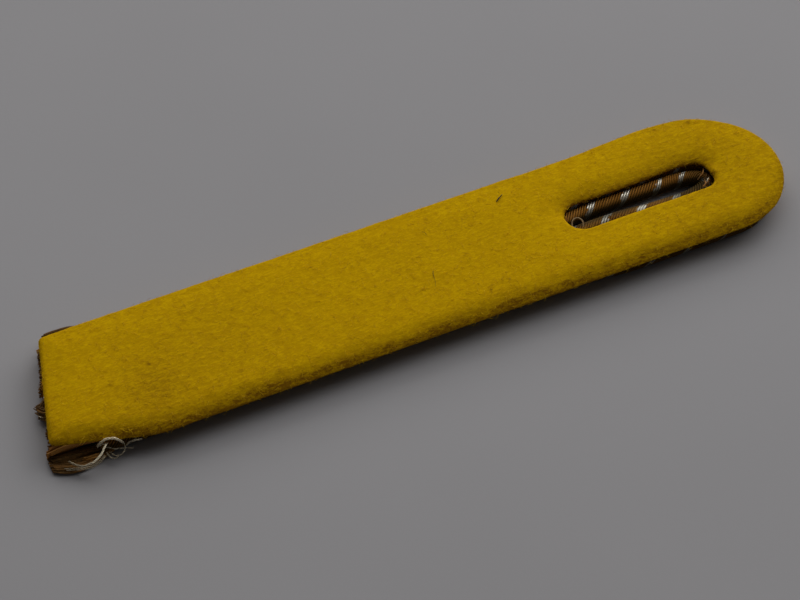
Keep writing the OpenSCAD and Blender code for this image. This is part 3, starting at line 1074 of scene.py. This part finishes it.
# In the slot: a pale ring of thread at its back, brown ends and a silver one at its front.
def makeSlotThreads(brown, pale, silver):
    draw = random.Random(31)
    arch = [(26.2, -0.75, 2.3), (26.55, -0.05, 2.65), (27.15, 0.22, 2.85), (27.75, 0.0, 2.85),
            (28.0, -0.7, 2.7), (27.75, -1.4, 2.35)]
    pale.add(smoothLine(arch, 6), 0.125, 0.5, 0.9)
    for k in range(9):
        x, y = draw.uniform(48.6, 50.0), draw.uniform(-2.2, 1.0)
        z = draw.uniform(2.3, 2.7)
        line = smoothLine([(x - 0.6, y - 0.3, z), (x, y, z + 0.2),
                           (x + draw.uniform(0, 0.6), y + draw.uniform(0.2, 0.9), z)], 4)
        brown.add(line, 0.09, draw.random(), 0.6)
    silver.add(smoothLine([(49.0, -1.5, 2.5), (49.5, -1.1, 2.9), (50.0, -0.6, 2.7)], 5), 0.09, 0.8)


makeSlotThreads(brownThreads, paleThreads, silverThreads)

frayedThreads = brownThreads.make("frayed_brown_thread", brownStrand)
coreYarn = paleThreads.make("pale_core_yarn", paleStrand)
silverLoose = silverThreads.make("loose_silver_thread", silverStrand)

# Hairs caught on the cloth: points, steps between two of them, thickness, tint, and the tip's
# share of the thickness.
hairRows = [
    ([(18.0, 7.84, 4.25), (17.63, 7.57, 4.3), (17.2, 7.28, 4.2)], 5, 0.1, 0.2, 0.8),
    ([(18.0, 7.84, 4.25), (18.35, 8.05, 4.28), (18.68, 8.26, 4.2)], 5, 0.07, 0.5, 0.5),
    ([(4.2, 6.4, 4.2), (4.5, 6.0, 4.3), (4.6, 5.5, 4.2)], 5, 0.035, 0.4, 0.5),
    ([(2.48, -1.41, 4.16), (2.21, -1.88, 4.22), (2.05, -2.57, 4.2)], 6, 0.034, 0.4, 0.5),
    ([(2.05, -2.57, 4.2), (1.88, -3.36, 4.2), (1.45, -4.35, 4.15)], 6, 0.018, 0.4, 0.5),
]
hairs = Strands()
for points, steps, thick, tint, tip in hairRows:
    hairs.add(smoothLine(points, steps), thick, tint, tip)
stuckHair = hairs.make("stuck_hair", darkHair, 4)


# Nap of the cloth: short bent fibres strewn over it, lying nearly flat.
napSizes = {"density": 1.75e6, "length": 0.75, "thick": 0.016, "seed": 4}


def napTree(s):
    g, put = newTree("woolNap", {
        "Density": s["density"], "Length": s["length"] * mm, "Thickness": s["thick"] * mm,
        "Seed": s["seed"]})
    spots = g.node("GeometryNodeDistributePointsOnFaces", {"distribute_method": "RANDOM"},
                   {"Mesh": put["Geometry"], "Density": put["Density"], "Seed": put["Seed"]})

    def chance(kind, low, high, seed):
        return g.node("FunctionNodeRandomValue", {"data_type": kind},
                      {"Min": low, "Max": high, "Seed": seed})

    fibre = g.node("GeometryNodeCurveQuadraticBezier", {}, {
        "Resolution": 2, "Start": (0.0, 0.0, -0.04), "Middle": (0.45, 0.1, 0.30),
        "End": (1.0, 0.0, 0.04)})
    fibre = sweep(g, fibre, circle(g, 3, put["Thickness"] / put["Length"]))
    spin = chance("FLOAT_VECTOR", (-0.25, -0.35, 0.0), (0.25, 0.15, math.tau), 9)
    turn = g.node("FunctionNodeRotateRotation", {"rotation_space": "LOCAL"},
                  {"Rotation": spots.output("Rotation"), "Rotate By": spin})
    size = chance("FLOAT", 0.4, 1.25, 2) * put["Length"]
    shade = chance("FLOAT", 0.0, 1.0, 5)
    strewn = g.node("GeometryNodeInstanceOnPoints", {}, {
        "Points": spots, "Instance": fibre, "Rotation": turn,
        "Scale": g.node("ShaderNodeCombineXYZ", {}, {"X": size, "Y": size, "Z": size})})
    return endTree(g, store(g, strewn, "tint", shade, "INSTANCE"), put["Material"])


nap = grow("wool_nap", cloth, napTree(napSizes), {}, woolFibre, keep=True)


# Floor, light and background.
roomSizes = {
    "floorHalf": 3.0, "floorTone": (0.458, 0.446, 0.456), "fill": 0.035, "far": 1.3,
    # name: turn from the strap's length, rise above the floor, width, height, power
    "lights": {"window": (78.0, 26.0, 2.4, 0.60, 8.0), "sideWindow": (20.0, 26.0, 1.3, 0.65, 4.5),
               "skylight": (50.0, 56.0, 2.0, 0.85, 5.5)},
}


def makeFloor(s):
    material, g = newMaterial("paleFloor")
    cloud = grain(g, place(g), 60.0, 2.0)
    tone = g.mix(cloud.step(0.3, 0.7), colour(*[c * 0.985 for c in s["floorTone"]]),
                 colour(*[c * 1.015 for c in s["floorTone"]]))
    finishMaterial(g, {
        "Base Color": tone, "Roughness": 0.85, "Specular IOR Level": 0.2,
        "Normal": bumped(g, 0.25, 0.03, grain(g, place(g), 0.35, 2.0))})
    half = s["floorHalf"] / mm
    corners = [(-half, -half, 0), (half, -half, 0), (half, half, 0), (-half, half, 0)]
    floor = meshPiece("floor", corners, [(0, 1, 2, 3)], material)


def makeLights(s):
    for name, (turn, rise, wide, high, power) in s["lights"].items():
        data = bpy.data.lights.new(name, "AREA")
        data.shape = "RECTANGLE"
        data.size, data.size_y = wide, high
        data.energy = power
        light = newObject(name, data)
        turn, rise = math.radians(turn), math.radians(rise)
        level = math.cos(rise)
        way = Vector((math.cos(turn) * level, math.sin(turn) * level, math.sin(rise)))
        light.location = way * s["far"]
        light.rotation_euler = way.to_track_quat("Z", "Y").to_euler()
    world = bpy.data.worlds.new("studio")
    world.use_nodes = True
    back = world.node_tree.nodes["Background"]
    back.inputs["Color"].default_value = colour(0.97, 0.98, 1.0)
    back.inputs["Strength"].default_value = s["fill"]
    scene.world = world
    scene.view_settings.view_transform = "Standard"
    scene.view_settings.look = "None"


makeFloor(roomSizes)
makeLights(roomSizes)
print("floor and lights made")

# Every piece rides on the one body.
cordPieces = [cords[loop] for loop in sorted(cords)]
for piece in [cloth, nap, frayedThreads, coreYarn, silverLoose, stuckHair] + cordPieces:
    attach(piece, "root")
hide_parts("cloth_underlay")
for loop, cord in cords.items():
    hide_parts("cord_loop_%d" % loop)
for piece in cordPieces + [frayedThreads, coreYarn, silverLoose]:
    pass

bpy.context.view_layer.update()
